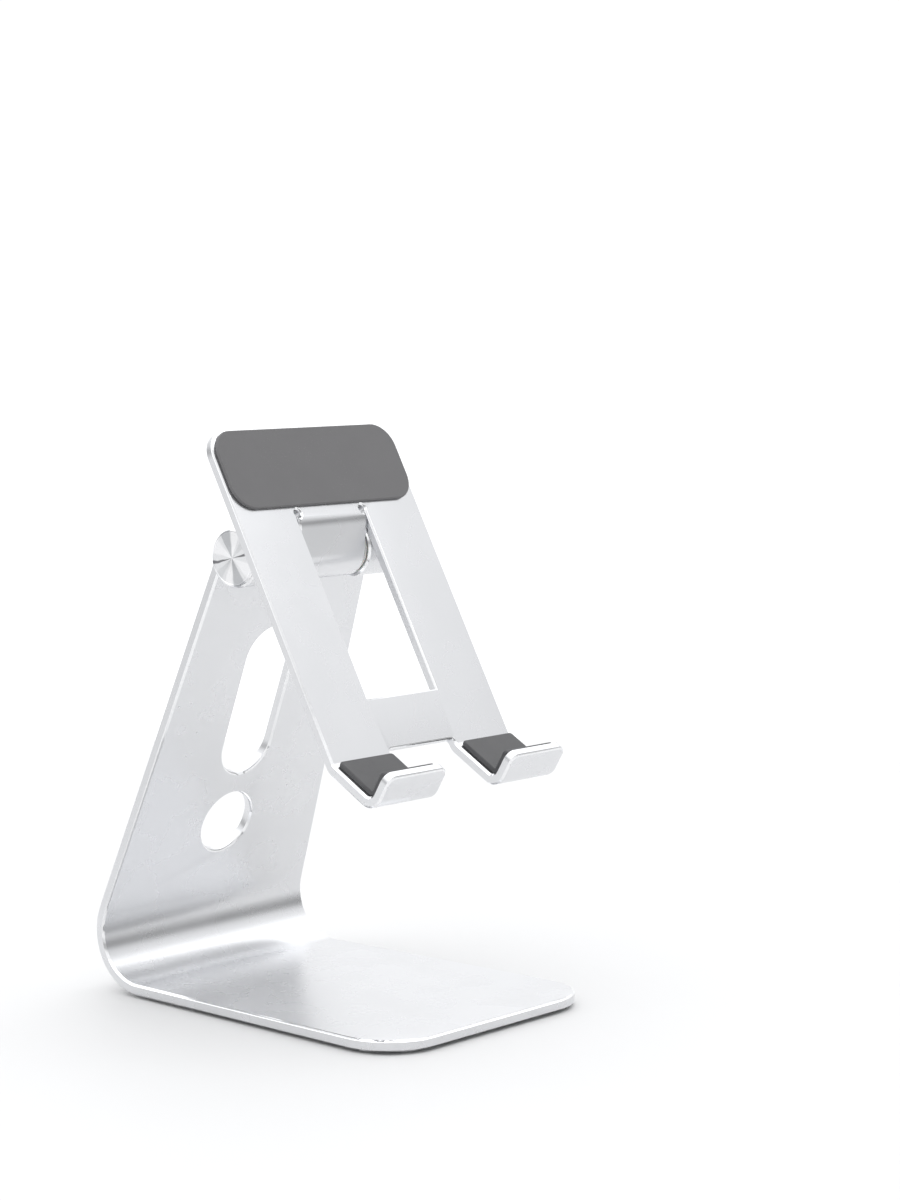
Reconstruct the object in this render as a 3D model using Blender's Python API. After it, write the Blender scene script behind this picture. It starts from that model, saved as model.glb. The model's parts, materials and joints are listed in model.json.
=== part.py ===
"""Adjustable tablet stand: one bent and rolled aluminium foot, a tilting tray on a friction hinge, and pads.

Metres, +Z up. The origin is on the floor, under the middle of the foot. +X is to the right and -Y is the
front, where the tablet faces. The tray is shown leaning back, as it is in use.
"""

import math

import bmesh
import bpy
from mathutils import Vector

MM = 0.001

# Foot: one aluminium plate that lies flat, bends up at the rear and rolls round the hinge axle.
FOOT_LENGTH = 145 * MM
FOOT_FRONT_WIDTH = 108 * MM
FOOT_BEND_WIDTH = 101 * MM
FOOT_THICKNESS = 4 * MM
FOOT_CORNER_RADIUS = 20 * MM
FOOT_BEND_RADIUS = 21 * MM
UPRIGHT_LEAN = math.radians(20)
UPRIGHT_TOP_WIDTH = 76 * MM
UPRIGHT_SHOULDER_RADIUS = 60 * MM
HINGE_HEIGHT = 157 * MM
EAR_BORE = 6.2 * MM
EAR_NOTCH_DROP = 8.7 * MM
CABLE_HOLE_DIAMETER = 23.5 * MM
CABLE_HOLE_RISE = 29.5 * MM
CABLE_SLOT_WIDTH = 23.5 * MM
CABLE_SLOT_LENGTH = 58.5 * MM
CABLE_SLOT_RISE = 78.5 * MM

# Tray: a second plate. The tongue cut out of its window rolls into the hinge barrel, its two arms into hooks.
TRAY_WIDTH = 91 * MM
TRAY_THICKNESS = 3.8 * MM
TRAY_ABOVE_HINGE = 41.5 * MM
TRAY_BELOW_HINGE = 82.5 * MM
TRAY_CORNER_RADIUS = 10 * MM
TRAY_TILT = math.radians(29)
HOOK_BEND_ANGLE = math.radians(31)
HOOK_SHELF_LENGTH = 21.6 * MM
HOOK_LIP_LENGTH = 13.4 * MM
HOOK_INNER_RADIUS = 2.5 * MM
HOOK_NOTCH_WIDTH = 33 * MM
HOOK_NOTCH_TOP = 79.6 * MM
HOOK_TIP_RADIUS = 3.5 * MM
WINDOW_WIDTH = 35 * MM
WINDOW_BOTTOM = 61 * MM
TONGUE_ROOT = 8.7 * MM
RELIEF_RADIUS = 1.5 * MM
BARREL_WIDTH = 33.6 * MM
BARREL_BORE = 5.8 * MM
TONGUE_BEND_RADIUS = 6 * MM

# Hinge hardware on the axle.
AXLE_RADIUS = 4 * MM
THREAD_RADIUS = 3 * MM
THREAD_LENGTH = 8 * MM
SLEEVE_SLIT = 2 * MM
BUSH_LENGTH = 8 * MM
WASHER_THICKNESS = 0.8 * MM
CUP_WASHER_HEIGHT = 1.3 * MM
NUT_ACROSS_FLATS = 10 * MM
NUT_HEIGHT = 3.2 * MM
CAP_RADIUS = 9.7 * MM
CAP_THICKNESS = 1.8 * MM
CAP_HUB_LENGTH = 3 * MM
CAP_CHAMFER = 0.4 * MM

# Pads.
TOP_PAD_HEIGHT = 29.5 * MM
TOP_PAD_THICKNESS = 1.1 * MM
TOP_PAD_MARGIN = 1 * MM
HOOK_PAD_THICKNESS = 1.6 * MM
HOOK_PAD_MARGIN = 1.6 * MM
FOOT_PAD_THICKNESS = 0.7 * MM
FOOT_PAD_MARGIN = 4 * MM
PAD_ROUND = 0.3 * MM

# Clearances and finish.
CONTACT_GAP = 0.3 * MM
SWING_GAP = 0.4 * MM
EDGE_CHAMFER = 0.7 * MM
SMALL_RADIUS = 1.2 * MM
ARC_STEP = math.radians(9)
ROUND_SEGMENTS = 48
SHARP_ANGLE = math.radians(30)

ALUMINIUM = ("silver_aluminium", (0.80, 0.81, 0.83), 0.35, 1.0)
SPUN = ("spun_aluminium", (0.86, 0.87, 0.88), 0.22, 1.0)
STEEL = ("zinc_plated_steel", (0.62, 0.63, 0.65), 0.30, 1.0)
NYLON = ("white_nylon", (0.85, 0.84, 0.80), 0.45, 0.0)
SILICONE = ("grey_silicone", (0.20, 0.20, 0.21), 0.65, 0.0)
RUBBER = ("dark_rubber", (0.06, 0.06, 0.065), 0.75, 0.0)


class Path:
    """A line in a plane, made of straight runs and arcs, that a flat strip is bent along."""

    def __init__(self, start, heading):
        self.pieces = []
        self.end = Vector(start)
        self.heading = heading
        self.length = 0.0

    def straight(self, length):
        self.pieces.append((self.length, length, self.end.copy(), self.heading, 0.0))
        self.end += length * direction(self.heading)
        self.length += length
        return self

    def arc(self, radius, turn):
        """Turns left for a positive angle and right for a negative one."""
        curvature = math.copysign(1 / radius, turn)
        length = radius * abs(turn)
        self.pieces.append((self.length, length, self.end.copy(), self.heading, curvature))
        centre = self.end + direction(self.heading + math.pi / 2) / curvature
        self.heading += turn
        self.end = centre - direction(self.heading + math.pi / 2) / curvature
        self.length += length
        return self

    def at(self, distance):
        """The point at this distance along the path, and the direction to the path's left there."""
        piece = self.pieces[0]
        for candidate in self.pieces:
            if distance >= candidate[0] - 1e-9:
                piece = candidate
        begin, _, start, heading, curvature = piece
        along = distance - begin
        if curvature == 0.0:
            return start + along * direction(heading), direction(heading + math.pi / 2)
        turned = heading + along * curvature
        centre = start + direction(heading + math.pi / 2) / curvature
        return centre - direction(turned + math.pi / 2) / curvature, direction(turned + math.pi / 2)

    def stations(self):
        """Where a strip has to be creased to follow the arcs."""
        found = []
        for begin, length, _, _, curvature in self.pieces:
            if curvature != 0.0:
                count = max(2, math.ceil(length * abs(curvature) / ARC_STEP))
                found += [begin + length * i / count for i in range(count + 1)]
        return found


def direction(angle):
    return Vector((math.cos(angle), math.sin(angle)))


def roll_turn(inner_radius, outer_radius):
    """How far a plate can roll round an axle before its end would meet the plate again."""
    return 2 * math.pi - math.acos(inner_radius / (outer_radius + SWING_GAP)) - math.radians(2)


def filleted(corners):
    """A closed outline through (x, y, radius) corners, each with its own fillet."""
    outline = []
    count = len(corners)
    for i, (x, y, radius) in enumerate(corners):
        here = Vector((x, y))
        before = (Vector(corners[i - 1][:2]) - here).normalized()
        after = (Vector(corners[(i + 1) % count][:2]) - here).normalized()
        half = before.angle(after) / 2
        if radius == 0.0 or half > math.radians(89.9):
            outline.append(here)
            continue
        centre = here + (before + after).normalized() * radius / math.sin(half)
        first = here + before * radius / math.tan(half) - centre
        last = here + after * radius / math.tan(half) - centre
        sweep = first.angle_signed(last)
        steps = max(2, math.ceil(abs(sweep) / ARC_STEP))
        start = math.atan2(first.y, first.x)
        outline += [centre + radius * direction(start - sweep * k / steps) for k in range(steps + 1)]
    return outline


def arc_points(centre, radius, start, sweep):
    steps = max(2, math.ceil(abs(sweep) / ARC_STEP))
    return [Vector(centre) + radius * direction(start + sweep * k / steps) for k in range(steps + 1)]


def circle(centre, radius):
    """A round hole, drawn clockwise."""
    return arc_points(centre, radius, 0.0, -2 * math.pi)[:-1]


def obround(centre, width, length):
    """A slot with round ends, long in Y, drawn clockwise."""
    x, y = centre
    reach = (length - width) / 2
    upper = arc_points((x, y + reach), width / 2, math.pi, -math.pi)
    lower = arc_points((x, y - reach), width / 2, 0.0, -math.pi)
    return upper + lower


def rounded_rectangle(left, bottom, right, top, radius):
    corners = [(left, bottom, radius), (right, bottom, radius), (right, top, radius), (left, top, radius)]
    return filleted(corners)


def inset(outline, distance):
    """The outline moved to its left, into the material."""
    moved = []
    count = len(outline)
    for i, point in enumerate(outline):
        into = (point - outline[i - 1]).normalized()
        out = (outline[(i + 1) % count] - point).normalized()
        left = Vector((-into.y - out.y, into.x + out.x)).normalized()
        share = max(0.35, left.dot(Vector((-into.y, into.x))))
        moved.append(point + left * distance / share)
    return moved


def flat_plate(loops, low, high, chamfer):
    """A flat plate with chamfered edges between two levels. Its first loop is the outside, the rest are holes."""
    bm = bmesh.new()
    levels = [(low, chamfer), (low + chamfer, 0.0), (high - chamfer, 0.0), (high, chamfer)]
    caps = {0: [], 3: []}
    for loop in loops:
        rings = []
        for level, step in levels:
            shape = inset(loop, step) if step else loop
            rings.append([bm.verts.new((p.x, p.y, level)) for p in shape])
        for lower, upper in zip(rings, rings[1:]):
            for i in range(len(loop)):
                bm.faces.new((lower[i - 1], lower[i], upper[i], upper[i - 1]))
        for side in caps:
            ring = rings[side]
            caps[side] += [bm.edges.get((ring[i - 1], ring[i])) for i in range(len(ring))]
    for edges in caps.values():
        bmesh.ops.triangle_fill(bm, use_beauty=True, edges=edges)
    bmesh.ops.recalc_face_normals(bm, faces=bm.faces)
    return bm


def crease(bm, stations, wanted=None):
    """Cuts the plate across at each station, so that it can bend there."""
    for station in stations:
        faces = [f for f in bm.faces if wanted is None or all(wanted(v.co) for v in f.verts)]
        edges = {e for f in faces for e in f.edges}
        verts = {v for f in faces for v in f.verts}
        bmesh.ops.bisect_plane(
            bm,
            geom=faces + list(edges) + list(verts),
            dist=1e-7,
            plane_co=(0, station, 0),
            plane_no=(0, 1, 0),
        )


def bend(bm, place):
    for vert in bm.verts:
        vert.co = place(vert.co)
    bmesh.ops.triangulate(bm, faces=bm.faces)
    bmesh.ops.recalc_face_normals(bm, faces=bm.faces)


def finish_material(finish):
    name, colour, roughness, metallic = finish
    material = bpy.data.materials.get(name)
    if material is None:
        material = bpy.data.materials.new(name)
        material.use_nodes = True
        shader = material.node_tree.nodes["Principled BSDF"]
        shader.inputs["Base Color"].default_value = (*colour, 1.0)
        shader.inputs["Roughness"].default_value = roughness
        shader.inputs["Metallic"].default_value = metallic
        material.diffuse_color = (*colour, 1.0)
    return material


def add_object(name, bm, finish, parent=None):
    mesh = bpy.data.meshes.new(name)
    bm.to_mesh(mesh)
    bm.free()
    mesh.shade_smooth()
    mesh.set_sharp_from_angle(angle=SHARP_ANGLE)
    mesh.materials.append(finish_material(finish))
    obj = bpy.data.objects.new(name, mesh)
    bpy.context.scene.collection.objects.link(obj)
    obj.parent = parent
    return obj


def add_empty(name, location, tilt=0.0):
    empty = bpy.data.objects.new(name, None)
    bpy.context.scene.collection.objects.link(empty)
    empty.location = location
    empty.rotation_euler = (tilt, 0.0, 0.0)
    return empty


def turned(profile):
    """A solid turned about the X axis from an (x, radius) profile. A radius of 0 closes it on the axis."""
    bm = bmesh.new()
    rings = []
    for x, radius in profile:
        if radius == 0.0:
            rings.append([bm.verts.new((x, 0, 0))])
            continue
        angles = [2 * math.pi * i / ROUND_SEGMENTS for i in range(ROUND_SEGMENTS)]
        rings.append([bm.verts.new((x, radius * math.cos(a), radius * math.sin(a))) for a in angles])
    on_axis = profile[0][1] == 0.0 and profile[-1][1] == 0.0
    pairs = list(zip(rings, rings[1:]))
    if not on_axis:
        pairs.append((rings[-1], rings[0]))
    for first, second in pairs:
        for i in range(ROUND_SEGMENTS):
            corners = [first[i - 1], first[i]] if len(first) > 1 else [first[0]]
            corners += [second[i], second[i - 1]] if len(second) > 1 else [second[0]]
            bm.faces.new(corners)
    bmesh.ops.recalc_face_normals(bm, faces=bm.faces)
    return bm


def ring(start, stop, inner, outer, edge=0.0):
    """A plain washer or bush from start to stop along X, with its outer edges chamfered."""
    profile = [(start, inner), (start, outer - edge)]
    if edge:
        profile.append((start + edge, outer))
        profile.append((stop - edge, outer))
    profile += [(stop, outer - edge), (stop, inner)]
    return turned(profile)


def cup_washer(start, stop, inner, outer, thickness, cup):
    """A dished spring washer. Its rim stands cup further out along X than its bore."""
    step = math.copysign(thickness, stop - start)
    lift = math.copysign(cup, stop - start)
    return turned([(start, inner), (start + lift, outer), (start + lift + step, outer), (start + step, inner)])


def prism(loops, start, stop):
    """Outlines in the YZ plane, pushed along X from start to stop."""
    low, high = sorted((start, stop))
    bm = flat_plate(loops, low, high, 0.05 * MM)
    for vert in bm.verts:
        vert.co = Vector((vert.co.z, vert.co.x, vert.co.y))
    bmesh.ops.recalc_face_normals(bm, faces=bm.faces)
    return bm


# Places that several pieces share.
FOOT_UNDERSIDE = FOOT_PAD_THICKNESS + CONTACT_GAP
EAR_RADIUS = EAR_BORE + FOOT_THICKNESS
EAR_MIDDLE_RADIUS = EAR_BORE + FOOT_THICKNESS / 2
BEND_CENTRE_HEIGHT = FOOT_UNDERSIDE + FOOT_BEND_RADIUS
TANGENT_SHIFT = FOOT_BEND_RADIUS - EAR_RADIUS
UPRIGHT_LENGTH = (
    HINGE_HEIGHT - BEND_CENTRE_HEIGHT - TANGENT_SHIFT * math.sin(UPRIGHT_LEAN)
) / math.cos(UPRIGHT_LEAN)
HINGE_Y = (
    FOOT_LENGTH / 2
    - FOOT_BEND_RADIUS
    + TANGENT_SHIFT * math.cos(UPRIGHT_LEAN)
    - UPRIGHT_LENGTH * math.sin(UPRIGHT_LEAN)
)
TRAY_BACK = EAR_RADIUS + SWING_GAP
TRAY_MIDDLE = TRAY_BACK + TRAY_THICKNESS / 2
HOOK_MIDDLE_RADIUS = HOOK_INNER_RADIUS + TRAY_THICKNESS / 2
BARREL_RADIUS = BARREL_BORE + TRAY_THICKNESS
BARREL_MIDDLE_RADIUS = BARREL_BORE + TRAY_THICKNESS / 2
BARREL_END = BARREL_WIDTH / 2
EAR_INNER_END = BARREL_END + WASHER_THICKNESS + 2 * CONTACT_GAP
EAR_OUTER_END = UPRIGHT_TOP_WIDTH / 2
AXLE_FIT = AXLE_RADIUS + CONTACT_GAP
THREAD_FIT = THREAD_RADIUS + CONTACT_GAP
BORE_FIT = EAR_BORE - CONTACT_GAP


def foot_path():
    path = Path((-FOOT_LENGTH / 2, FOOT_UNDERSIDE + FOOT_THICKNESS / 2), 0.0)
    path.straight(FOOT_LENGTH - FOOT_BEND_RADIUS)
    path.arc(FOOT_BEND_RADIUS - FOOT_THICKNESS / 2, math.pi / 2 + UPRIGHT_LEAN)
    path.straight(UPRIGHT_LENGTH)
    path.arc(EAR_MIDDLE_RADIUS, roll_turn(EAR_BORE, EAR_RADIUS))
    return path


def make_foot():
    path = foot_path()
    bend_start, bend_end, ear_start = (piece[0] for piece in path.pieces[1:])
    end = path.length
    notch = ear_start - EAR_NOTCH_DROP
    front, bend_half, top = FOOT_FRONT_WIDTH / 2, FOOT_BEND_WIDTH / 2, UPRIGHT_TOP_WIDTH / 2
    right = [
        (front, 0.0, FOOT_CORNER_RADIUS),
        (bend_half, bend_start, UPRIGHT_SHOULDER_RADIUS),
        (bend_half, bend_end, UPRIGHT_SHOULDER_RADIUS),
        (top, notch, 0.0),
        (top, end, SMALL_RADIUS),
        (EAR_INNER_END, end, SMALL_RADIUS),
        (EAR_INNER_END, notch, SMALL_RADIUS),
    ]
    left = [(-x, s, radius) for x, s, radius in reversed(right)]
    hole = circle((0.0, bend_end + CABLE_HOLE_RISE), CABLE_HOLE_DIAMETER / 2)
    slot = obround((0.0, bend_end + CABLE_SLOT_RISE), CABLE_SLOT_WIDTH, CABLE_SLOT_LENGTH)
    bm = flat_plate([filleted(right + left), hole, slot], -FOOT_THICKNESS / 2, FOOT_THICKNESS / 2, EDGE_CHAMFER)
    crease(bm, path.stations())

    def place(co):
        point, left_of = path.at(co.y)
        point = point + left_of * co.z
        return Vector((co.x, point.x, point.y))

    bend(bm, place)
    return add_object("foot_plate", bm, ALUMINIUM)


def make_foot_pad():
    edge = FOOT_PAD_MARGIN
    front, rear = -FOOT_LENGTH / 2 + edge, FOOT_LENGTH / 2 - FOOT_BEND_RADIUS
    front_half, rear_half = FOOT_FRONT_WIDTH / 2 - edge, FOOT_BEND_WIDTH / 2 - edge
    corners = [
        (-front_half, front, FOOT_CORNER_RADIUS - edge),
        (front_half, front, FOOT_CORNER_RADIUS - edge),
        (rear_half, rear, edge),
        (-rear_half, rear, edge),
    ]
    bm = flat_plate([filleted(corners)], 0.0, FOOT_PAD_THICKNESS, PAD_ROUND)
    return add_object("foot_pad", bm, SILICONE)


def tray_path():
    """From the tray's top edge down to the tips of the hooks, in (forwards, up) about the hinge axis."""
    path = Path((TRAY_MIDDLE, TRAY_ABOVE_HINGE), -math.pi / 2)
    reach = HOOK_MIDDLE_RADIUS * math.tan(HOOK_BEND_ANGLE / 2)
    path.straight(TRAY_ABOVE_HINGE + TRAY_BELOW_HINGE - reach)
    path.arc(HOOK_MIDDLE_RADIUS, HOOK_BEND_ANGLE)
    path.straight(HOOK_SHELF_LENGTH - reach - HOOK_MIDDLE_RADIUS)
    path.arc(HOOK_MIDDLE_RADIUS, math.pi / 2)
    path.straight(HOOK_LIP_LENGTH - HOOK_MIDDLE_RADIUS)
    return path


def tongue_path():
    """From the tray's top edge down the tongue, back and round the axle as the hinge barrel."""
    path = Path((TRAY_MIDDLE, TRAY_ABOVE_HINGE), -math.pi / 2)
    path.straight(TRAY_ABOVE_HINGE - TONGUE_ROOT + RELIEF_RADIUS)
    across = TRAY_MIDDLE - TONGUE_BEND_RADIUS
    drop = TONGUE_ROOT - RELIEF_RADIUS
    distance = math.hypot(across, drop)
    radius_step = BARREL_MIDDLE_RADIUS - TONGUE_BEND_RADIUS
    turn = math.pi / 2 - math.atan2(drop, across) - math.asin(radius_step / distance)
    path.arc(TONGUE_BEND_RADIUS, -turn)
    path.straight(math.sqrt(distance**2 - radius_step**2))
    path.arc(BARREL_MIDDLE_RADIUS, -roll_turn(BARREL_BORE, BARREL_RADIUS))
    return path


def window_outline(path):
    """The window's edge, clockwise, round the tongue and the relief hole at each side of its root."""
    root = TRAY_ABOVE_HINGE - TONGUE_ROOT
    bottom = TRAY_ABOVE_HINGE + WINDOW_BOTTOM
    outer = WINDOW_WIDTH / 2
    tongue = BARREL_END
    centre = outer - RELIEF_RADIUS + 0.2 * MM
    from_angle = math.acos((outer - centre) / RELIEF_RADIUS)
    to_angle = math.acos((tongue - centre) / RELIEF_RADIUS)
    sweep = to_angle - from_angle - 2 * math.pi
    points = [Vector((-outer, bottom)), Vector((outer, bottom))]
    points += arc_points((centre, root), RELIEF_RADIUS, from_angle, sweep)
    points += [Vector((tongue, path.length)), Vector((-tongue, path.length))]
    points += arc_points((-centre, root), RELIEF_RADIUS, math.pi - to_angle, sweep)
    return points


def bent_by(path):
    def place(co):
        point, left_of = path.at(co.y)
        point = point + left_of * co.z
        return Vector((co.x, -point.x, point.y))

    return place


def make_tray(pivot):
    path = tray_path()
    tongue = tongue_path()
    end = path.length
    half, gap = TRAY_WIDTH / 2, HOOK_NOTCH_WIDTH / 2
    notch = TRAY_ABOVE_HINGE + HOOK_NOTCH_TOP
    right = [
        (half, 0.0, TRAY_CORNER_RADIUS),
        (half, end, HOOK_TIP_RADIUS),
        (gap, end, HOOK_TIP_RADIUS),
        (gap, notch, SMALL_RADIUS),
    ]
    left = [(-x, s, radius) for x, s, radius in reversed(right)]
    loops = [filleted(right + left), window_outline(tongue)]
    bm = flat_plate(loops, -TRAY_THICKNESS / 2, TRAY_THICKNESS / 2, EDGE_CHAMFER)
    side = (WINDOW_WIDTH / 2 + BARREL_END) / 2
    root = tongue.pieces[1][0] - 0.001 * MM
    tip = (tongue.length + TRAY_ABOVE_HINGE + WINDOW_BOTTOM) / 2

    def in_tongue(co):
        return abs(co.x) < side and root < co.y < tip

    crease(bm, tongue.stations()[:1])
    crease(bm, tongue.stations()[1:], in_tongue)
    crease(bm, path.stations())
    as_tongue, as_tray = bent_by(tongue), bent_by(path)
    bend(bm, lambda co: as_tongue(co) if in_tongue(co) else as_tray(co))
    return add_object("tray_plate", bm, ALUMINIUM, pivot)


def make_top_pad(pivot):
    half = TRAY_WIDTH / 2 - TOP_PAD_MARGIN
    top = TRAY_ABOVE_HINGE - TOP_PAD_MARGIN
    loop = rounded_rectangle(-half, top - TOP_PAD_HEIGHT, half, top, TRAY_CORNER_RADIUS - TOP_PAD_MARGIN)
    front = TRAY_MIDDLE + TRAY_THICKNESS / 2 + CONTACT_GAP
    bm = flat_plate([loop], front, front + TOP_PAD_THICKNESS, PAD_ROUND)
    for vert in bm.verts:
        vert.co = Vector((vert.co.x, -vert.co.z, vert.co.y))
    bmesh.ops.recalc_face_normals(bm, faces=bm.faces)
    return add_object("top_pad", bm, SILICONE, pivot)


def make_hook_pad(name, side, pivot):
    """A rubber strip that lines one hook, down the shelf and out along the lip."""
    path = tray_path()
    start = path.pieces[2][0]
    end = path.length - HOOK_PAD_MARGIN
    inner = HOOK_NOTCH_WIDTH / 2 + HOOK_PAD_MARGIN
    outer = TRAY_WIDTH / 2 - HOOK_PAD_MARGIN
    left, right = sorted((side * inner, side * outer))
    loop = rounded_rectangle(left, start, right, end, SMALL_RADIUS)
    face = TRAY_THICKNESS / 2 + CONTACT_GAP
    bm = flat_plate([loop], face, face + HOOK_PAD_THICKNESS, PAD_ROUND)
    crease(bm, [s for s in path.stations() if s > start])
    bend(bm, bent_by(path))
    return add_object(name, bm, RUBBER, pivot)


def split_sleeve(start, stop):
    """A friction sleeve: spring steel rolled round the axle, with a slit along it."""
    inner, outer = AXLE_FIT, BARREL_BORE - CONTACT_GAP
    half = SLEEVE_SLIT / 2
    outer_half, inner_half = math.asin(half / outer), math.asin(half / inner)
    loop = arc_points((0, 0), outer, outer_half, 2 * math.pi - 2 * outer_half)
    loop += arc_points((0, 0), inner, -inner_half, -2 * math.pi + 2 * inner_half)
    return prism([loop], start, stop)


def hex_nut(start, stop):
    corner = NUT_ACROSS_FLATS / 2 / math.cos(math.pi / 6)
    hexagon = [corner * direction(math.pi / 3 * i) for i in range(6)]
    return prism([hexagon, circle((0, 0), THREAD_FIT)], start, stop)


def make_axle(axis):
    shoulder = EAR_INNER_END + BUSH_LENGTH
    tip = shoulder + THREAD_LENGTH
    edge = CAP_CHAMFER
    half = [(shoulder, AXLE_RADIUS), (shoulder, THREAD_RADIUS), (tip - edge, THREAD_RADIUS)]
    half += [(tip, THREAD_RADIUS - edge), (tip, 0.0)]
    profile = [(-x, radius) for x, radius in reversed(half)] + half
    return add_object("hinge_axle", turned(profile), STEEL, axis)


def make_hinge_side(word, side, axis, pivot):
    """The hardware at one side of the hinge, from the middle of the barrel out to the end cap."""
    inner_end = BARREL_END - CONTACT_GAP
    sleeve = split_sleeve(side * CONTACT_GAP, side * inner_end)
    add_object("friction_sleeve_" + word, sleeve, STEEL, pivot)
    washer_in = BARREL_END + CONTACT_GAP
    washer = ring(side * washer_in, side * (washer_in + WASHER_THICKNESS), AXLE_FIT, BARREL_RADIUS - EDGE_CHAMFER)
    add_object("thrust_washer_" + word, washer, NYLON, axis)
    x = EAR_INNER_END + CONTACT_GAP
    bush_out = EAR_INNER_END + BUSH_LENGTH - CONTACT_GAP
    add_object("ear_bush_" + word, ring(side * x, side * bush_out, AXLE_FIT, BORE_FIT), NYLON, axis)
    x = bush_out + CONTACT_GAP
    flat = ring(side * x, side * (x + WASHER_THICKNESS), THREAD_FIT, BORE_FIT)
    x += WASHER_THICKNESS + CONTACT_GAP
    thickness = WASHER_THICKNESS / 2
    cup = CUP_WASHER_HEIGHT - thickness
    dished = cup_washer(side * x, side * (x + CUP_WASHER_HEIGHT), THREAD_FIT, BORE_FIT, thickness, cup)
    x += CUP_WASHER_HEIGHT + CONTACT_GAP
    add_object("flat_washer_" + word, flat, STEEL, axis)
    add_object("cup_washer_" + word, dished, STEEL, axis)
    add_object("axle_nut_" + word, hex_nut(side * x, side * (x + NUT_HEIGHT)), STEEL, axis)
    make_end_cap(word, side, axis)


def make_end_cap(word, side, axis):
    face = EAR_OUTER_END + CONTACT_GAP
    front = face + CAP_THICKNESS
    hub = face - CAP_HUB_LENGTH
    profile = [
        (hub, 0.0),
        (hub, BORE_FIT - CAP_CHAMFER),
        (hub + CAP_CHAMFER, BORE_FIT),
        (face, BORE_FIT),
        (face, CAP_RADIUS),
        (front - CAP_CHAMFER, CAP_RADIUS),
        (front, CAP_RADIUS - CAP_CHAMFER),
        (front, 0.0),
    ]
    add_object("end_cap_" + word, turned([(side * x, radius) for x, radius in profile]), SPUN, axis)


def clear_scene():
    for obj in list(bpy.data.objects):
        bpy.data.objects.remove(obj, do_unlink=True)


def main():
    clear_scene()
    axis = add_empty("hinge_axis", (0.0, HINGE_Y, HINGE_HEIGHT))
    pivot = add_empty("tray_pivot", (0.0, HINGE_Y, HINGE_HEIGHT), -TRAY_TILT)
    make_foot()
    make_foot_pad()
    make_tray(pivot)
    make_top_pad(pivot)
    make_axle(axis)
    for word, side in (("left", -1), ("right", 1)):
        make_hook_pad("hook_pad_" + word, side, pivot)
        make_hinge_side(word, side, axis, pivot)


main()
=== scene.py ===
"""Tablet stand: two bent anodised plates, spun end caps, grey pads, rubber liners and a studded sole."""

import json
import math

import bmesh
import bpy
from mathutils import Matrix, Vector
from mathutils.bvhtree import BVHTree


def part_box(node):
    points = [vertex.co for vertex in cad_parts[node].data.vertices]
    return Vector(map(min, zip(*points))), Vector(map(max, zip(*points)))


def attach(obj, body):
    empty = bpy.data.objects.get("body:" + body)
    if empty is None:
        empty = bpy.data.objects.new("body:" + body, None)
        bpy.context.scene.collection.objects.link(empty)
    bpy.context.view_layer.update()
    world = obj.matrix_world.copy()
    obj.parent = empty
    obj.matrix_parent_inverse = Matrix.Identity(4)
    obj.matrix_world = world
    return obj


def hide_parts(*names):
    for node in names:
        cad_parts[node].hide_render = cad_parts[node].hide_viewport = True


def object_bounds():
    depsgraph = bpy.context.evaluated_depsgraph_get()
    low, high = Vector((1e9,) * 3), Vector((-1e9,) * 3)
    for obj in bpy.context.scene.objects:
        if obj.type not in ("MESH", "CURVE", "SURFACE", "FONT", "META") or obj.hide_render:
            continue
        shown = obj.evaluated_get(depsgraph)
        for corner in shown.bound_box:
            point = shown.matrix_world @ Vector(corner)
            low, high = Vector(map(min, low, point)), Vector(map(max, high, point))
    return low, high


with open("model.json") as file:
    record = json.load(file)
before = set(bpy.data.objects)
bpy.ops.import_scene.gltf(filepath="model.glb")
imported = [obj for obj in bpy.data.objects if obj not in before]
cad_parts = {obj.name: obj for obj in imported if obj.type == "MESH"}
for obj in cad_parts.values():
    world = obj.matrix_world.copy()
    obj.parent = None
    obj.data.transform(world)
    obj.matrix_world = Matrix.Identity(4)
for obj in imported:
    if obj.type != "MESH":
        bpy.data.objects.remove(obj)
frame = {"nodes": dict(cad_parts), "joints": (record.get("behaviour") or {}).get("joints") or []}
cad_nodes = frame["nodes"]
cad_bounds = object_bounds()

MM = 0.001
HINGE = Vector(frame["joints"][0]["pos_m"])

MERGE = 0.002 * MM
FLAT = math.radians(1)
SHARP = math.radians(28)
BROAD_SHARE = 0.2
FACING_DOWN = -0.99
ROUND_STEPS = 96

# A pad's points within STUCK_DOWN_FROM of its plate are stuck down on it, and the sole stands on its studs.
STUCK_DOWN_FROM = 0.4 * MM
GLUE_LINE = 0.02 * MM
PAD_ROUND = 0.14 * MM
SOLE_LIFT = 0.25 * MM
STUD_SINK = 0.10 * MM
STUD_SIZES = {
    "Pitch": 6 * MM,
    "Margin": 3.5 * MM,
    "Stud radius": 1.3 * MM,
    "Stud height": SOLE_LIFT + STUD_SINK,
}
STUD_SIDES = 12
STUD_TIP_SHARE = 0.65
STUD_RAY = 1 * MM

CAP_FLANGE = 1.8 * MM
CAP_HUB_STEP = 3.8 * MM
CAP_HUB_CHAMFER = 0.4 * MM
CAP_BACK_ROUND = 0.2 * MM
CAP_DISH = 0.10 * MM
CAP_MARK_RADIUS = 0.75 * MM
CAP_MARK_EDGE = 0.08 * MM
CAP_MARK_DEPTH = 0.35 * MM
# The cap's rim, from its outside inwards: how far behind the front, and how far in from the outside.
CAP_RIM = (
    (0.45 * MM, 0.0),
    (0.12 * MM, 0.22 * MM),
    (0.0, 0.5 * MM),
    (0.0, 0.75 * MM),
    (0.14 * MM, 0.9 * MM),
)
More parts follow.
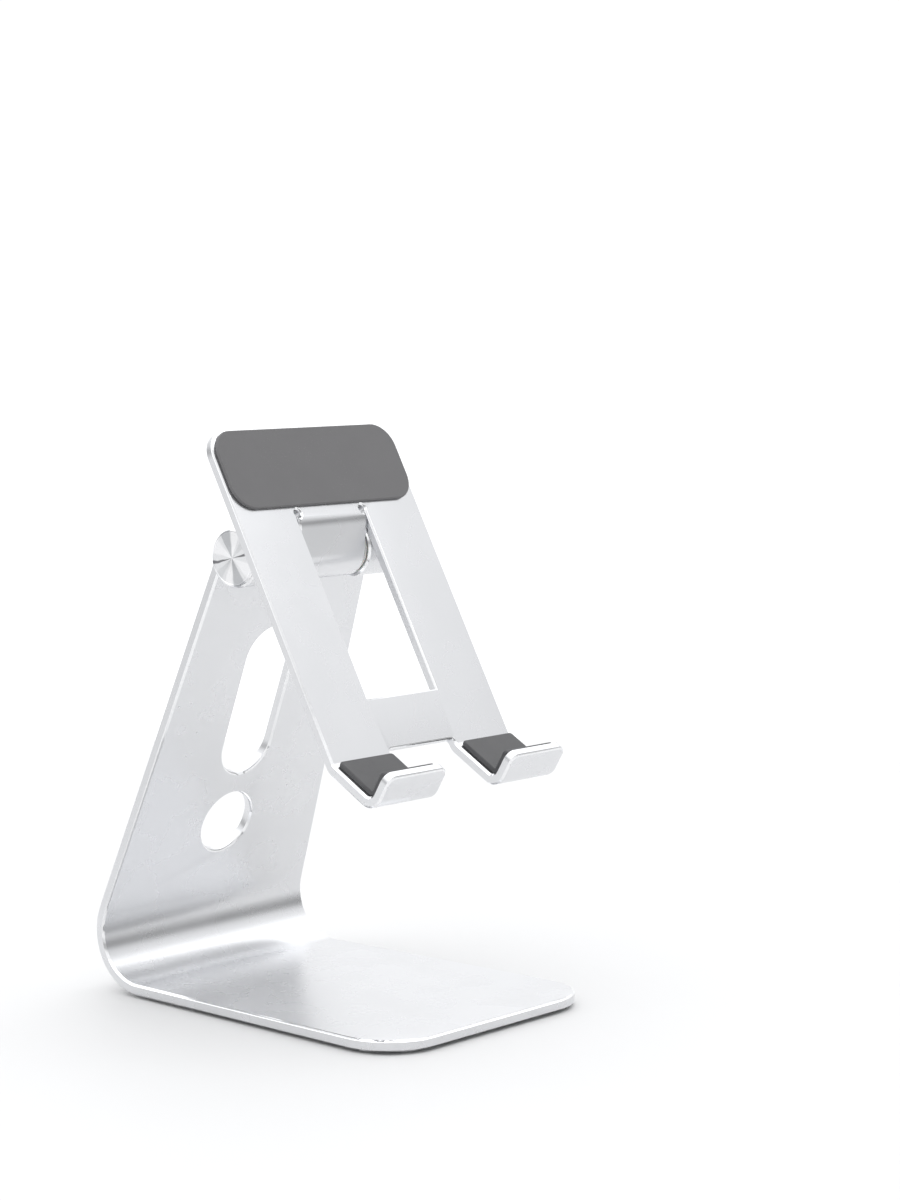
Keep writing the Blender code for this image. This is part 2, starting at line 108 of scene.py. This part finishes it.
# The cap's painted reflection fans, light and dark wedges painted into its colour in place of the spun
# face's highlights: middle, half width and softness in degrees, and colour.
CAP_PAINTED_REFLECTION_FANS = (
    (72, 13, 5, (0.50, 0.51, 0.525)),
    (104, 9, 6, (0.95, 0.95, 0.955)),
    (28, 11, 9, (0.93, 0.93, 0.94)),
    (-10, 2, 3, (0.16, 0.16, 0.17)),
    (-42, 6, 8, (0.68, 0.69, 0.70)),
)
CAP_CIRCLE_PITCH = 0.28 * MM

FLOOR_RADIUS = 0.6
# The room's brightness: below, then each step up to the next level, from height to height (1 is overhead).
ROOM_BELOW = 1.0
ROOM_STEPS = ((-0.06, 0.08, 0.78), (0.32, 0.44, 1.06), (0.57, 0.64, 1.72))
# Soft round cards and flags: where they lie, where they end and are full in degrees, and their strength.
LOW_FLAG = ((0.74, -0.66, -0.10), 30, 12, -0.24)
FRONT_FLAG = ((0.0, -0.64, 0.77), 38, 20, -0.75)
REAR_CARD = ((0.71, 0.67, 0.24), 45, 20, 0.28)
# A low band of the wall is dimmer on three sides.
BAND_BOTTOM = (0.12, 0.17)
BAND_TOP = (0.36, 0.30)
BAND_SIDES = ((0.70, -0.70, 0.0), (-0.80, 0.60, 0.0), (-0.45, -0.90, 0.0))
BAND_END, BAND_FULL, BAND_FLAG = 52, 38, -0.30
GROUND_SEEN = 1.05
LAMP_STRENGTH = 0.25
LAMP_SPREAD = 35
LAMP_SHINES = (-0.35, 0.25, -1.0)

LENS = 88.35
HEADING, DIP, ROLL = (math.radians(angle) for angle in (48.97, 6.07, 0.26))
CAMERA_FROM_REAR = Vector((-0.7427, -0.7684, 0.2490))


# ---------------------------------------------------------------- node trees


class Tree:
    """Short ways to add and join the nodes of one tree."""

    def __init__(self, tree):
        self.tree = tree

    def add(self, kind, **settings):
        node = self.tree.nodes.new(kind)
        for name, value in settings.items():
            setattr(node, name, value)
        return node

    def feed(self, socket, value):
        if isinstance(value, bpy.types.NodeSocket):
            self.tree.links.new(value, socket)
        else:
            socket.default_value = value

    def math(self, operation, *values):
        node = self.add("ShaderNodeMath", operation=operation)
        for socket, value in zip(node.inputs, values):
            self.feed(socket, value)
        return node.outputs[0]

    def vector(self, operation, *values):
        node = self.add("ShaderNodeVectorMath", operation=operation)
        for socket, value in zip(node.inputs, values):
            self.feed(socket, value)
        return node.outputs["Value" if operation == "DOT_PRODUCT" else "Vector"]

    def noise(self, place, scale, detail=2.0, roughness=0.5):
        node = self.add("ShaderNodeTexNoise")
        self.feed(node.inputs["Vector"], place)
        self.feed(node.inputs["Scale"], scale)
        node.inputs["Detail"].default_value = detail
        node.inputs["Roughness"].default_value = roughness
        return node.outputs["Fac"]

    def between(self, value, low, high, to_low=0.0, to_high=1.0):
        node = self.add("ShaderNodeMapRange", interpolation_type="SMOOTHSTEP")
        for socket, number in zip(node.inputs, (value, low, high, to_low, to_high)):
            self.feed(socket, number)
        return node.outputs["Result"]

    def colour(self, mask, first, second):
        node = self.add("ShaderNodeMix", data_type="RGBA")
        self.feed(node.inputs["Factor"], mask)
        self.feed(node.inputs["A"], (*first, 1.0) if isinstance(first, tuple) else first)
        self.feed(node.inputs["B"], (*second, 1.0) if isinstance(second, tuple) else second)
        return node.outputs["Result"]

    def bump(self, height, distance, strength):
        node = self.add("ShaderNodeBump")
        node.inputs["Distance"].default_value = distance
        node.inputs["Strength"].default_value = strength
        self.feed(node.inputs["Height"], height)
        return node.outputs["Normal"]


def new_group(name, wanted, given):
    """A shader node group. wanted is {input: default} and given is {output: socket kind}."""
    group = bpy.data.node_groups.new(name, "ShaderNodeTree")
    for title, default in wanted.items():
        kind = "NodeSocketVector" if default is None else "NodeSocketFloat"
        socket = group.interface.new_socket(title, in_out="INPUT", socket_type=kind)
        if default is not None:
            socket.default_value = default
    for title, kind in given.items():
        group.interface.new_socket(title, in_out="OUTPUT", socket_type=kind)
    tree = Tree(group)
    return tree, tree.add("NodeGroupInput").outputs, tree.add("NodeGroupOutput").inputs


def make_blasted_grain():
    """Fine bead blasting: a dense field of tiny dimples, with slow unevenness under it."""
    wanted = {"Place": None, "Grain": 0.35 * MM, "Unevenness": 18 * MM}
    given = {"Height": "NodeSocketFloat", "Cloud": "NodeSocketFloat"}
    tree, wants, gives = new_group("blasted grain", wanted, given)
    dimples = tree.add("ShaderNodeTexVoronoi", feature="SMOOTH_F1")
    tree.feed(dimples.inputs["Vector"], wants["Place"])
    tree.feed(dimples.inputs["Scale"], tree.math("DIVIDE", 1.0, wants["Grain"]))
    fine = tree.noise(wants["Place"], tree.math("DIVIDE", 2.2, wants["Grain"]), 1.0)
    tree.feed(gives["Height"], tree.math("MULTIPLY_ADD", fine, 0.6, dimples.outputs["Distance"]))
    slow = tree.math("DIVIDE", 1.0, wants["Unevenness"])
    tree.feed(gives["Cloud"], tree.noise(wants["Place"], slow, 3.0))
    return tree.tree


def make_handling():
    """Faint smudges and a few hairline scratches, as a clean thing gets in use."""
    wanted = {"Place": None, "Smudge size": 22 * MM, "Scratches": 0.5}
    given = {"Smudge": "NodeSocketFloat", "Scratch": "NodeSocketFloat"}
    tree, wants, gives = new_group("handling marks", wanted, given)
    broad = tree.noise(wants["Place"], tree.math("DIVIDE", 1.0, wants["Smudge size"]), 4.0, 0.6)
    tree.feed(gives["Smudge"], tree.between(broad, 0.48, 0.72))
    lines = []
    two_ways = (((0.3, 0.2, 0.9), (9.0, 260.0, 30.0)), ((1.1, -0.5, 0.2), (240.0, 11.0, 26.0)))
    for turn, stretch in two_ways:
        place = tree.add("ShaderNodeMapping")
        tree.feed(place.inputs["Vector"], wants["Place"])
        place.inputs["Rotation"].default_value = turn
        place.inputs["Scale"].default_value = stretch
        lines.append(tree.between(tree.noise(place.outputs["Vector"], 6.0, 1.0), 0.735, 0.76))
    both = tree.math("MAXIMUM", *lines)
    tree.feed(gives["Scratch"], tree.math("MULTIPLY", both, wants["Scratches"]))
    return tree.tree


def make_dust():
    """Specks and lint that settle on a matt pad."""
    wanted = {"Place": None, "Speck size": 0.8 * MM, "Amount": 0.5}
    tree, wants, gives = new_group("settled dust", wanted, {"Mask": "NodeSocketFloat"})
    specks = tree.add("ShaderNodeTexVoronoi", feature="F1")
    tree.feed(specks.inputs["Vector"], wants["Place"])
    tree.feed(specks.inputs["Scale"], tree.math("DIVIDE", 1.0, wants["Speck size"]))
    near = tree.between(specks.outputs["Distance"], 0.16, 0.05)
    patches = tree.between(tree.noise(wants["Place"], 60.0, 3.0), 0.45, 0.7)
    specked = tree.math("MULTIPLY", near, patches)
    tree.feed(gives["Mask"], tree.math("MULTIPLY", specked, wants["Amount"]))
    return tree.tree


GRAIN = make_blasted_grain()
HANDLING = make_handling()
DUST = make_dust()


def new_material(name, **constants):
    """A material, its tree, its shader's sockets and the object's own coordinates."""
    material = bpy.data.materials.new(name)
    material.use_nodes = True
    shader = material.node_tree.nodes["Principled BSDF"]
    for socket, value in constants.items():
        shader.inputs[socket.replace("_", " ")].default_value = value
    tree = Tree(material.node_tree)
    place = tree.add("ShaderNodeTexCoord").outputs["Object"]
    return material, tree, shader.inputs, place


def use_group(tree, group, place, **values):
    node = tree.add("ShaderNodeGroup", node_tree=group)
    tree.feed(node.inputs["Place"], place)
    for title, value in values.items():
        tree.feed(node.inputs[title.replace("_", " ")], value)
    return node.outputs


def anodised_aluminium():
    """The blasted and anodised faces of both plates: fine grain under slow, faint clouds and smudges."""
    material, tree, shader, place = new_material("anodised aluminium", Metallic=1.0)
    grain = use_group(tree, GRAIN, place, Grain=0.9 * MM)
    smudge = use_group(tree, HANDLING, place)["Smudge"]
    cloud = tree.between(grain["Cloud"], 0.3, 0.7)
    tree.feed(shader["Base Color"], tree.colour(cloud, (0.738, 0.743, 0.756), (0.758, 0.763, 0.776)))
    rough = tree.math("MULTIPLY_ADD", cloud, 0.03, 0.26)
    tree.feed(shader["Roughness"], tree.math("MULTIPLY_ADD", smudge, -0.02, rough))
    tree.feed(shader["Normal"], tree.bump(grain["Height"], 0.003 * MM, 0.8))
    return material


def cut_edge():
    """Edges that a cutter has left bright: a polished face with faint lines along it."""
    material, tree, shader, place = new_material("bright cut edge", Metallic=1.0)
    marks = use_group(tree, HANDLING, place, Scratches=0.8)
    lines = tree.noise(place, 1100.0, 2.0)
    tone = tree.colour(tree.between(lines, 0.35, 0.7), (0.87, 0.875, 0.885), (0.93, 0.933, 0.94))
    tree.feed(shader["Base Color"], tone)
    rough = tree.math("MULTIPLY_ADD", lines, 0.06, 0.10)
    tree.feed(shader["Roughness"], tree.math("MULTIPLY_ADD", marks["Scratch"], 0.12, rough))
    tree.feed(shader["Normal"], tree.bump(lines, 0.004 * MM, 0.5))
    return material


def spun_aluminium(side):
    """A turned face: fine circles about the hinge axis, with painted reflections in its colour: fans of
    painted highlight and shade from its centre, and a painted highlight on each circle's crest.
    """
    material, tree, shader, place = new_material("spun aluminium with painted reflections " + side, Metallic=1.0)
    centred = tree.add("ShaderNodeMapping")
    tree.feed(centred.inputs["Vector"], place)
    centred.inputs["Location"].default_value = -HINGE
    apart = tree.add("ShaderNodeSeparateXYZ")
    tree.feed(apart.inputs[0], centred.outputs["Vector"])
    y, z = apart.outputs["Y"], apart.outputs["Z"]
    radius = tree.math("SQRT", tree.math("MULTIPLY_ADD", y, y, tree.math("MULTIPLY", z, z)))
    streaks = tree.noise(centred.outputs["Vector"], 320.0, 1.0)
    angle = tree.math("MULTIPLY_ADD", streaks, math.radians(7), tree.math("ARCTAN2", z, y))

    def painted_reflection_fan(middle, half_width, softness):
        """A pair of opposite wedges of painted reflection: 1 inside them and 0 outside."""
        turned_by = tree.math("MULTIPLY_ADD", angle, 2.0, -2.0 * math.radians(middle))
        outside = math.cos(2.0 * math.radians(half_width + softness))
        inside = math.cos(2.0 * math.radians(half_width))
        return tree.between(tree.math("COSINE", turned_by), outside, inside)

    # The colour starts plain, then each fan paints a wedge of reflected light or shade over it.
    tone = (0.80, 0.805, 0.815)
    for middle, half_width, softness, colour in CAP_PAINTED_REFLECTION_FANS:
        tone = tree.colour(painted_reflection_fan(middle, half_width, softness), tone, colour)
    circles = tree.math("SINE", tree.math("MULTIPLY", radius, 2 * math.pi / CAP_CIRCLE_PITCH))
    crest = tree.between(circles, -1.0, 1.0)
    # Each circle's crest is painted a little whiter: a painted highlight.
    painted_crest_highlight = tree.math("MULTIPLY", crest, 0.15)
    tree.feed(shader["Base Color"], tree.colour(painted_crest_highlight, tone, (0.97, 0.97, 0.97)))
    tree.feed(shader["Roughness"], tree.math("MULTIPLY_ADD", crest, 0.08, 0.22))
    tree.feed(shader["Normal"], tree.bump(circles, 0.010 * MM, 0.6))
    return material


def zinc_steel():
    """Passivated zinc: grey with a faint warm and blue cast."""
    material, tree, shader, place = new_material("zinc plated steel", Metallic=1.0)
    cast = tree.between(tree.noise(place, 260.0, 3.0), 0.35, 0.65)
    tree.feed(shader["Base Color"], tree.colour(cast, (0.60, 0.62, 0.66), (0.70, 0.68, 0.62)))
    grain = use_group(tree, GRAIN, place, Grain=0.2 * MM)
    tree.feed(shader["Roughness"], tree.math("MULTIPLY_ADD", cast, 0.12, 0.24))
    tree.feed(shader["Normal"], tree.bump(grain["Height"], 0.006 * MM, 0.6))
    return material


def natural_nylon():
    """Off-white moulded nylon, a little translucent."""
    material, tree, shader, place = new_material(
        "natural nylon", Subsurface_Weight=0.15, Subsurface_Scale=1.0 * MM
    )
    cloud = tree.between(tree.noise(place, 180.0, 3.0), 0.35, 0.65)
    tree.feed(shader["Base Color"], tree.colour(cloud, (0.80, 0.79, 0.74), (0.86, 0.85, 0.81)))
    tree.feed(shader["Roughness"], tree.math("MULTIPLY_ADD", cloud, 0.1, 0.4))
    tree.feed(shader["Normal"], tree.bump(tree.noise(place, 2600.0, 1.0), 0.01 * MM, 0.5))
    return material


def soft_rubber(name, dark, light, grain, dust):
    """Moulded silicone or rubber with a fine matt skin and a little settled dust."""
    material, tree, shader, place = new_material(name, Sheen_Weight=0.12, Sheen_Roughness=0.5)
    skin = use_group(tree, GRAIN, place, Grain=grain, Unevenness=12 * MM)
    lint = use_group(tree, DUST, place, Amount=dust)["Mask"]
    cloud = tree.between(skin["Cloud"], 0.3, 0.7)
    skin_tone = tree.colour(cloud, dark, light)
    tree.feed(shader["Base Color"], tree.colour(lint, skin_tone, (0.55, 0.54, 0.52)))
    tree.feed(shader["Roughness"], tree.math("MULTIPLY_ADD", cloud, 0.1, 0.55))
    tree.feed(shader["Normal"], tree.bump(skin["Height"], 0.03 * MM, 0.7))
    return material


ANODISED = anodised_aluminium()
CUT_EDGE = cut_edge()
ZINC = zinc_steel()
NYLON = natural_nylon()
PAD_SILICONE = soft_rubber(
    "grey pad silicone", (0.142, 0.140, 0.143), (0.154, 0.152, 0.155), grain=0.30 * MM, dust=0.35
)
LINER_RUBBER = soft_rubber(
    "dark liner rubber", (0.060, 0.060, 0.063), (0.085, 0.085, 0.088), grain=0.25 * MM, dust=0.30
)
SOLE_SILICONE = soft_rubber(
    "sole silicone", (0.105, 0.105, 0.110), (0.135, 0.135, 0.140), grain=0.30 * MM, dust=0.15
)


# ---------------------------------------------------------------- pieces


def add_piece(name, mesh, body, slot, *replaced):
    obj = bpy.data.objects.new(name, mesh)
    bpy.context.scene.collection.objects.link(obj)
    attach(obj, body)
    if replaced:
        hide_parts(*replaced)
    return obj


def mesh_from(bm, name, *materials):
    mesh = bpy.data.meshes.new(name)
    bm.to_mesh(mesh)
    bm.free()
    for material in materials:
        mesh.materials.append(material)
    mesh.shade_smooth()
    mesh.set_sharp_from_angle(angle=SHARP)
    return mesh


def merged_copy(node):
    """A copy of a CAD node's solid with its loose triangles joined up."""
    bm = bmesh.new()
    bm.from_mesh(cad_nodes[node].data)
    bmesh.ops.remove_doubles(bm, verts=bm.verts, dist=MERGE)
    return bm


def dissolve_flats(bm):
    bmesh.ops.dissolve_limit(bm, angle_limit=FLAT, verts=bm.verts, edges=bm.edges)


def smooth_regions(bm):
    """The faces in groups that run smoothly into each other, split at every sharp edge."""
    regions, seen = [], set()
    for face in bm.faces:
        if face in seen:
            continue
        seen.add(face)
        region, waiting = [], [face]
        while waiting:
            here = waiting.pop()
            region.append(here)
            for edge in here.edges:
                if len(edge.link_faces) != 2 or edge.calc_face_angle() > SHARP:
                    continue
                for other in edge.link_faces:
                    if other not in seen:
                        seen.add(other)
                        waiting.append(other)
        regions.append(region)
    return regions


def plate_skin(node, body):
    """A plate with its faces and sides blasted and anodised, and the chamfers round them cut bright."""
    bm = merged_copy(node)
    regions = smooth_regions(bm)
    areas = [sum(face.calc_area() for face in region) for region in regions]
    large = [region for region, area in zip(regions, areas) if area > BROAD_SHARE * max(areas)]
    broad = {face for region in large for face in region}
    for region in regions:
        rim = any(not broad.isdisjoint(edge.link_faces) for face in region for edge in face.edges)
        for face in region:
            face.material_index = 1 if rim and face not in broad else 0
    mesh = mesh_from(bm, node + " skin", ANODISED, CUT_EDGE)
    obj = add_piece(node + "_skin", mesh, body, "silver_aluminium", node)
    weigh = obj.modifiers.new("flat faces lead", "WEIGHTED_NORMAL")
    weigh.mode = "FACE_AREA"
    weigh.weight = 100
    weigh.keep_sharp = True


plate_skin("foot_plate", "base")
plate_skin("tray_plate", "tray")


def turned(profile, place):
    """A solid turned about X from (x, radius) points, from the axis out and back to it."""
    bm = bmesh.new()
    rings = []
    for x, radius in profile:
        steps = ROUND_STEPS if radius else 1
        angles = [2 * math.pi * i / steps for i in range(steps)]
        rings.append([bm.verts.new((x, radius * math.cos(a), radius * math.sin(a))) for a in angles])
    for first, second in zip(rings, rings[1:]):
        for i in range(ROUND_STEPS):
            corners = [first[i - 1], first[i]] if len(first) > 1 else [first[0]]
            corners += [second[i], second[i - 1]] if len(second) > 1 else [second[0]]
            bm.faces.new(corners)
    bmesh.ops.recalc_face_normals(bm, faces=bm.faces)
    bm.transform(Matrix.Translation(place))
    return bm


def end_cap(side):
    """A turned cap with a shallow dished face, a raised rim and a centre mark."""
    low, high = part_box("end_cap_" + side)
    sign = 1 if side == "right" else -1
    inner, outer = (low.x, high.x) if sign > 0 else (high.x, low.x)
    radius = (high.z - low.z) / 2
    hub = radius - CAP_HUB_STEP
    back = outer - sign * CAP_FLANGE
    profile = [
        (inner, 0.0),
        (inner, hub - CAP_HUB_CHAMFER),
        (inner + sign * CAP_HUB_CHAMFER, hub),
        (back, hub),
        (back, radius - CAP_BACK_ROUND),
        (back + sign * CAP_BACK_ROUND, radius),
    ]
    profile += [(outer - sign * behind, radius - inwards) for behind, inwards in CAP_RIM]
    profile += [
        (outer - sign * CAP_DISH, radius / 2),
        (outer - sign * CAP_MARK_EDGE, CAP_MARK_RADIUS),
        (outer - sign * CAP_MARK_DEPTH, 0.0),
    ]
    bm = turned(profile, Vector((0, HINGE.y, HINGE.z)))
    mesh = mesh_from(bm, "end cap " + side, spun_aluminium(side))
    add_piece("end_cap_" + side + "_turned", mesh, "base", "spun_aluminium", "end_cap_" + side)


for side in ("left", "right"):
    end_cap(side)
    for word in ("flat_washer_", "cup_washer_", "axle_nut_", "friction_sleeve_"):
        cad_nodes[word + side].data.materials[0] = ZINC
    for word in ("thrust_washer_", "ear_bush_"):
        cad_nodes[word + side].data.materials[0] = NYLON
cad_nodes["hinge_axle"].data.materials[0] = ZINC


def soft_pad(node, plate, material, slot, body, lift=0.0):
    """A moulded pad from its plain solid: stuck down on its plate, lifted off the floor and rounded."""
    bm = merged_copy(node)
    dissolve_flats(bm)
    metal = cad_nodes[plate].data
    surface = BVHTree.FromPolygons([v.co for v in metal.vertices], [p.vertices for p in metal.polygons])
    for vert in bm.verts:
        spot, _, _, distance = surface.find_nearest(vert.co)
        if distance < STUCK_DOWN_FROM:
            vert.co = spot + (vert.co - spot).normalized() * GLUE_LINE
        vert.co.z = max(vert.co.z, lift)
    mesh = mesh_from(bm, node + " moulded", material)
    obj = add_piece(node + "_moulded", mesh, body, slot, node)
    bevel = obj.modifiers.new("moulded round", "BEVEL")
    bevel.width = PAD_ROUND
    bevel.segments = 3
    bevel.limit_method = "ANGLE"
    bevel.angle_limit = math.radians(30)
    weigh = obj.modifiers.new("flat faces lead", "WEIGHTED_NORMAL")
    weigh.keep_sharp = False


soft_pad("top_pad", "tray_plate", PAD_SILICONE, "grey_silicone", "tray")
soft_pad("foot_pad", "foot_plate", SOLE_SILICONE, "grey_silicone", "base", lift=SOLE_LIFT)
soft_pad("hook_pad_left", "tray_plate", LINER_RUBBER, "dark_rubber", "tray")
soft_pad("hook_pad_right", "tray_plate", LINER_RUBBER, "dark_rubber", "tray")


def stud_rows():
    """Geometry nodes: rows of small grip studs that hang from a flat face, clear of its edge."""
    group = bpy.data.node_groups.new("rows of grip studs", "GeometryNodeTree")
    group.interface.new_socket("Face", in_out="INPUT", socket_type="NodeSocketGeometry")
    for title in STUD_SIZES:
        group.interface.new_socket(title, in_out="INPUT", socket_type="NodeSocketFloat")
    group.interface.new_socket("Material", in_out="INPUT", socket_type="NodeSocketMaterial")
    group.interface.new_socket("Studs", in_out="OUTPUT", socket_type="NodeSocketGeometry")
    tree = Tree(group)
    wants = tree.add("NodeGroupInput").outputs

    box = tree.add("GeometryNodeBoundBox")
    tree.feed(box.inputs["Geometry"], wants["Face"])
    low, high = box.outputs["Min"], box.outputs["Max"]
    span = tree.add("ShaderNodeSeparateXYZ")
    tree.feed(span.inputs[0], tree.vector("SUBTRACT", high, low))
    grid = tree.add("GeometryNodeMeshGrid")
    for axis in "XY":
        steps = tree.math("FLOOR", tree.math("DIVIDE", span.outputs[axis], wants["Pitch"]))
        tree.feed(grid.inputs["Size " + axis], tree.math("MULTIPLY", steps, wants["Pitch"]))
        tree.feed(grid.inputs["Vertices " + axis], tree.math("ADD", steps, 1.0))
    rows = tree.add("GeometryNodeTransform")
    tree.feed(rows.inputs["Geometry"], grid.outputs["Mesh"])
    middle = tree.vector("MULTIPLY", tree.vector("ADD", low, high), (0.5, 0.5, 0.5))
    tree.feed(rows.inputs["Translation"], middle)

    spot = tree.add("GeometryNodeInputPosition").outputs["Position"]
    under = tree.add("GeometryNodeRaycast")
    tree.feed(under.inputs["Target Geometry"], wants["Face"])
    tree.feed(under.inputs["Source Position"], tree.vector("ADD", spot, (0, 0, -STUD_RAY)))
    under.inputs["Ray Direction"].default_value = (0, 0, 1)
    under.inputs["Ray Length"].default_value = 2 * STUD_RAY
    edge = tree.add("GeometryNodeProximity", target_element="EDGES")
    tree.feed(edge.inputs[0], wants["Face"])
    clear = tree.math("GREATER_THAN", edge.outputs["Distance"], wants["Margin"])
    keep = tree.math("MULTIPLY", under.outputs["Is Hit"], clear)

    stud = tree.add("GeometryNodeMeshCone")
    stud.inputs["Vertices"].default_value = STUD_SIDES
    tree.feed(stud.inputs["Radius Top"], tree.math("MULTIPLY", wants["Stud radius"], STUD_TIP_SHARE))
    tree.feed(stud.inputs["Radius Bottom"], wants["Stud radius"])
    tree.feed(stud.inputs["Depth"], wants["Stud height"])
    hang = tree.add("GeometryNodeTransform")
    tree.feed(hang.inputs["Geometry"], stud.outputs["Mesh"])
    drop = tree.add("ShaderNodeCombineXYZ")
    tree.feed(drop.inputs["Z"], wants["Stud height"])
    tree.feed(hang.inputs["Translation"], drop.outputs[0])
    hang.inputs["Rotation"].default_value = (math.pi, 0, 0)

    copies = tree.add("GeometryNodeInstanceOnPoints")
    tree.feed(copies.inputs["Points"], rows.outputs["Geometry"])
    tree.feed(copies.inputs["Selection"], keep)
    tree.feed(copies.inputs["Instance"], hang.outputs["Geometry"])
    real = tree.add("GeometryNodeRealizeInstances")
    tree.feed(real.inputs["Geometry"], copies.outputs["Instances"])
    coat = tree.add("GeometryNodeSetMaterial")
    tree.feed(coat.inputs["Geometry"], real.outputs["Geometry"])
    tree.feed(coat.inputs["Material"], wants["Material"])
    tree.feed(tree.add("NodeGroupOutput").inputs["Studs"], coat.outputs["Geometry"])
    return group


def sole_studs():
    """The grip studs under the sole, down to the table."""
    bm = merged_copy("foot_pad")
    rest = [face for face in bm.faces if face.normal.z > FACING_DOWN]
    bmesh.ops.delete(bm, geom=rest, context="FACES")
    dissolve_flats(bm)
    underside = bpy.data.objects.new("sole underside", mesh_from(bm, "sole underside"))
    bpy.context.scene.collection.objects.link(underside)
    rows = underside.modifiers.new("rows of grip studs", "NODES")
    rows.node_group = stud_rows()
    sockets = {item.name: item.identifier for item in rows.node_group.interface.items_tree}
    for title, size in STUD_SIZES.items():
        rows[sockets[title]] = size
    rows[sockets["Material"]] = SOLE_SILICONE
    evaluated = underside.evaluated_get(bpy.context.evaluated_depsgraph_get())
    studs = bpy.data.meshes.new_from_object(evaluated)
    bpy.data.objects.remove(underside)
    add_piece("sole_grip_studs", studs, "base", "grey_silicone")


sole_studs()


# ---------------------------------------------------------------- room, light and camera


def floor():
    bm = bmesh.new()
    bmesh.ops.create_circle(bm, cap_ends=True, segments=ROUND_STEPS, radius=FLOOR_RADIUS)
    material, tree, shader, place = new_material("pale floor", Roughness=0.6, Specular_IOR_Level=0.2)
    cloud = tree.noise(place, 3.0, 2.0)
    tree.feed(shader["Base Color"], tree.colour(cloud, (0.75, 0.75, 0.75), (0.77, 0.77, 0.77)))
    mesh = mesh_from(bm, "floor", material)
    obj = bpy.data.objects.new("floor", mesh)
    bpy.context.scene.collection.objects.link(obj)


def sun(name, towards, strength, spread):
    lamp = bpy.data.lights.new(name, "SUN")
    lamp.energy = strength
    lamp.angle = math.radians(spread)
    obj = bpy.data.objects.new(name, lamp)
    bpy.context.scene.collection.objects.link(obj)
    obj.rotation_euler = Vector(towards).to_track_quat("-Z", "Y").to_euler()


def light():
    """A white room for the metal to reflect: brighter overhead, dimmer low down and high in front."""
    world = bpy.data.worlds.new("studio")
    bpy.context.scene.world = world
    world.use_nodes = True
    tree = Tree(world.node_tree)
    background = world.node_tree.nodes["Background"]
    ray = tree.add("ShaderNodeTexCoord").outputs["Generated"]
    apart = tree.add("ShaderNodeSeparateXYZ")
    tree.feed(apart.inputs[0], ray)
    height = apart.outputs["Z"]

    def card(towards, end, full):
        near = tree.vector("DOT_PRODUCT", ray, Vector(towards).normalized())
        return tree.between(near, math.cos(math.radians(end)), math.cos(math.radians(full)))

    bright, level = ROOM_BELOW, ROOM_BELOW
    for bottom, top, next_level in ROOM_STEPS:
        bright = tree.math("ADD", bright, tree.between(height, bottom, top, 0.0, next_level - level))
        level = next_level
    for towards, end, full, strength in (LOW_FLAG, FRONT_FLAG, REAR_CARD):
        bright = tree.math("MULTIPLY_ADD", card(towards, end, full), strength, bright)
    band = tree.math("MULTIPLY", tree.between(height, *BAND_BOTTOM), tree.between(height, *BAND_TOP))
    for towards in BAND_SIDES:
        flag = tree.math("MULTIPLY", band, card(towards, BAND_END, BAND_FULL))
        bright = tree.math("MULTIPLY_ADD", flag, BAND_FLAG, bright)
    seen = tree.add("ShaderNodeLightPath").outputs["Is Camera Ray"]
    bright = tree.math("MAXIMUM", bright, tree.math("MULTIPLY", seen, GROUND_SEEN))
    tree.feed(background.inputs["Strength"], bright)
    background.inputs["Color"].default_value = (0.985, 0.99, 1.0, 1.0)
    sun("overhead lamp", LAMP_SHINES, LAMP_STRENGTH, LAMP_SPREAD)


def camera():
    data = bpy.data.cameras.new("camera")
    obj = bpy.data.objects.new("camera", data)
    bpy.context.scene.collection.objects.link(obj)
    data.sensor_width = 36
    data.lens = LENS
    level = math.cos(DIP)
    ahead = Vector((math.sin(HEADING) * level, math.cos(HEADING) * level, -math.sin(DIP)))
    right = Vector((math.cos(HEADING), -math.sin(HEADING), 0))
    turn = Matrix((right, right.cross(ahead), -ahead)).transposed() @ Matrix.Rotation(ROLL, 3, "Z")
    place = CAMERA_FROM_REAR + Vector((0, cad_bounds[1].y, 0))
    obj.matrix_world = Matrix.Translation(place) @ turn.to_4x4()
    bpy.context.scene.camera = obj


floor()
light()
camera()
bpy.context.scene.view_settings.view_transform = "Standard"
